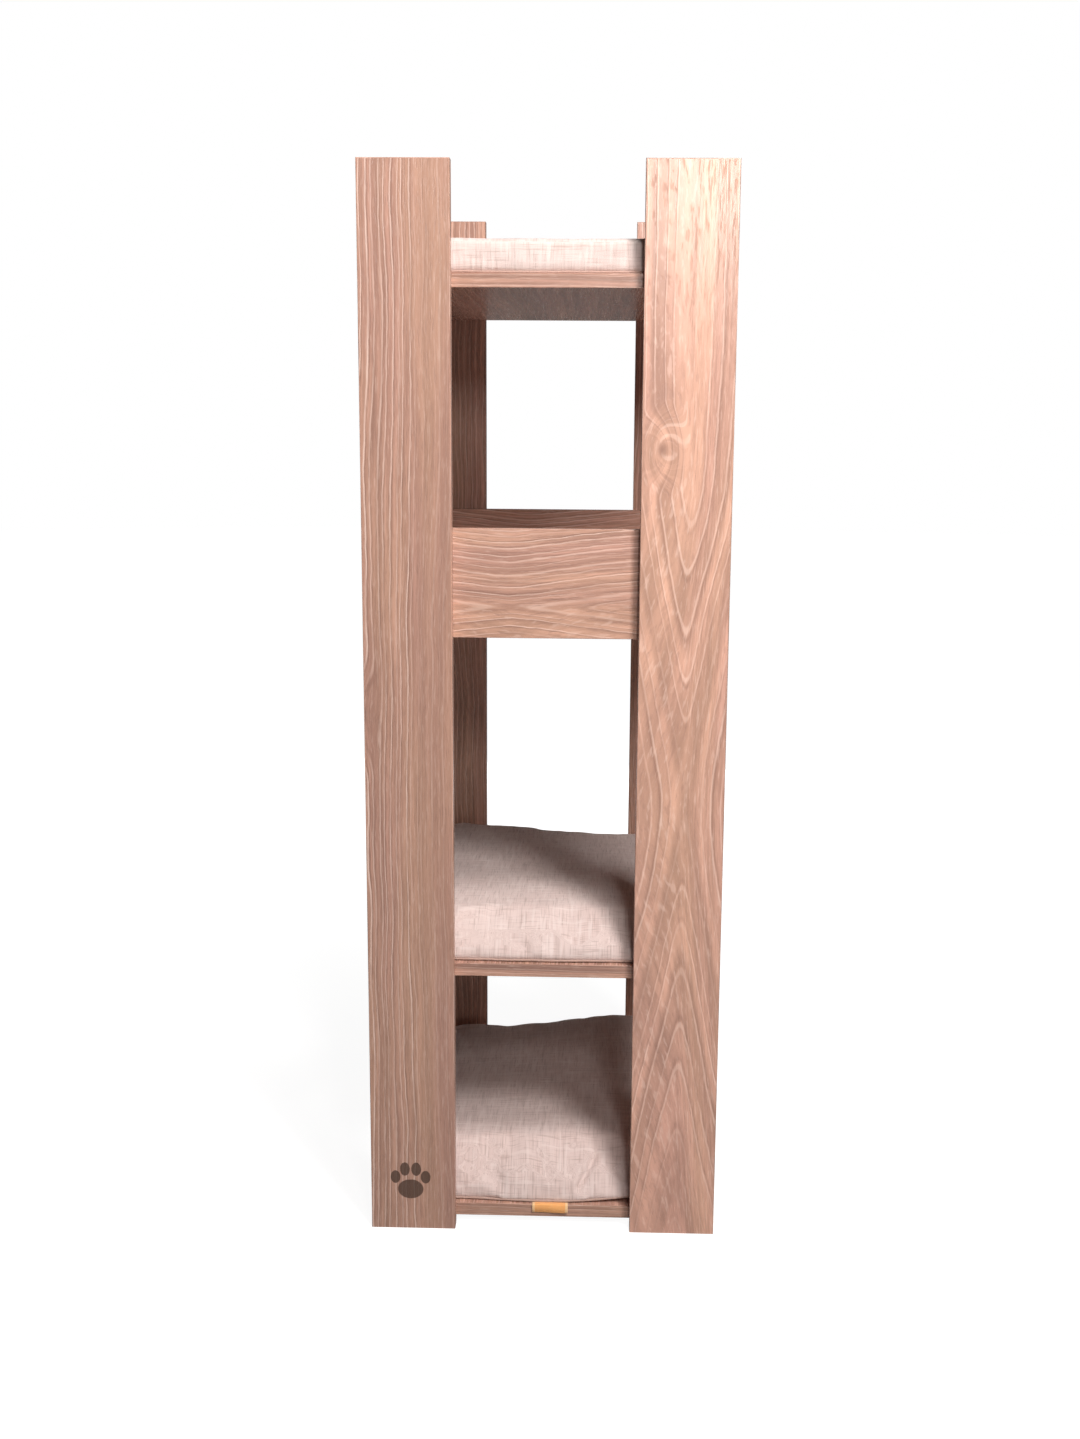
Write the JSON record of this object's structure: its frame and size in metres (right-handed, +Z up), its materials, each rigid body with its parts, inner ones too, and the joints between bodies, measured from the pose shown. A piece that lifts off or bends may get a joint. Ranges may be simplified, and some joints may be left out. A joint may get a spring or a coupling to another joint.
{
  "type": "cat tree",
  "caption": "Tall narrow open cat tree: flat wood-look posts carry cushioned shelves one above another, with an open-topped nest box between the upper ones.",
  "frame": {"origin": "on the floor, midway between the four posts", "axes": "+X to the right seen from the front, -Y to the front, +Z up"},
  "size_m": [0.4, 0.5, 1.2],
  "materials": {
    "oak_laminate": "satin",
    "edge_band": "satin",
    "cam_zinc": "satin",
    "fitting_steel": "satin",
    "dowel_beech": "matte",
    "linen_cover": "matte",
    "piping": "matte",
    "filling": "matte",
    "tag_ribbon": "satin"
  },
  "bodies": {
    "frame": {"bottom_shelf": "oak_laminate", "bottom_shelf_cam_bolts": "fitting_steel", "bottom_shelf_cam_housings": "cam_zinc", "bottom_shelf_dowels": "dowel_beech", "bottom_shelf_edging": "edge_band", "front_left_post": "oak_laminate", "front_left_post_edging": "edge_band", "front_right_post": "oak_laminate", "front_right_post_edging": "edge_band", "middle_shelf": "oak_laminate", "middle_shelf_cam_bolts": "fitting_steel", "middle_shelf_cam_housings": "cam_zinc", "middle_shelf_dowels": "dowel_beech", "middle_shelf_edging": "edge_band", "nest_cam_bolts": "fitting_steel", "nest_cam_housings": "cam_zinc", "nest_dowels": "dowel_beech", "nest_floor": "oak_laminate", "nest_front_apron": "oak_laminate", "nest_front_apron_edging": "edge_band", "nest_left_apron": "oak_laminate", "nest_left_apron_edging": "edge_band", "nest_post_screws": "fitting_steel", "nest_rear_apron": "oak_laminate", "nest_rear_apron_edging": "edge_band", "nest_right_apron": "oak_laminate", "nest_right_apron_edging": "edge_band", "rear_left_post": "oak_laminate", "rear_left_post_edging": "edge_band", "rear_right_post": "oak_laminate", "rear_right_post_edging": "edge_band", "top_shelf": "oak_laminate", "top_shelf_cam_bolts": "fitting_steel", "top_shelf_cam_housings": "cam_zinc", "top_shelf_dowels": "dowel_beech", "top_shelf_edging": "edge_band"},
    "top_cushion": {"top_cushion_cover": "linen_cover", "top_cushion_filling": "filling", "top_cushion_piping": "piping"},
    "middle_cushion": {"middle_cushion_cover": "linen_cover", "middle_cushion_filling": "filling", "middle_cushion_piping": "piping"},
    "bottom_cushion": {"bottom_cushion_cover": "linen_cover", "bottom_cushion_filling": "filling", "bottom_cushion_piping": "piping", "woven_tag": "tag_ribbon"}
  },
  "joints": [
    {"name": "top_cushion_lift", "type": "slide", "parent": "frame", "child": "top_cushion", "axis": [0, 0, 1], "range_m": [0, 0.2]},
    {"name": "middle_cushion_slide", "type": "slide", "parent": "frame", "child": "middle_cushion", "axis": [1, 0, 0], "range_m": [-0.42, 0.42]},
    {"name": "bottom_cushion_slide", "type": "slide", "parent": "frame", "child": "bottom_cushion", "axis": [1, 0, 0], "range_m": [-0.42, 0.42], "deforming": ["woven_tag"]}
  ]
}
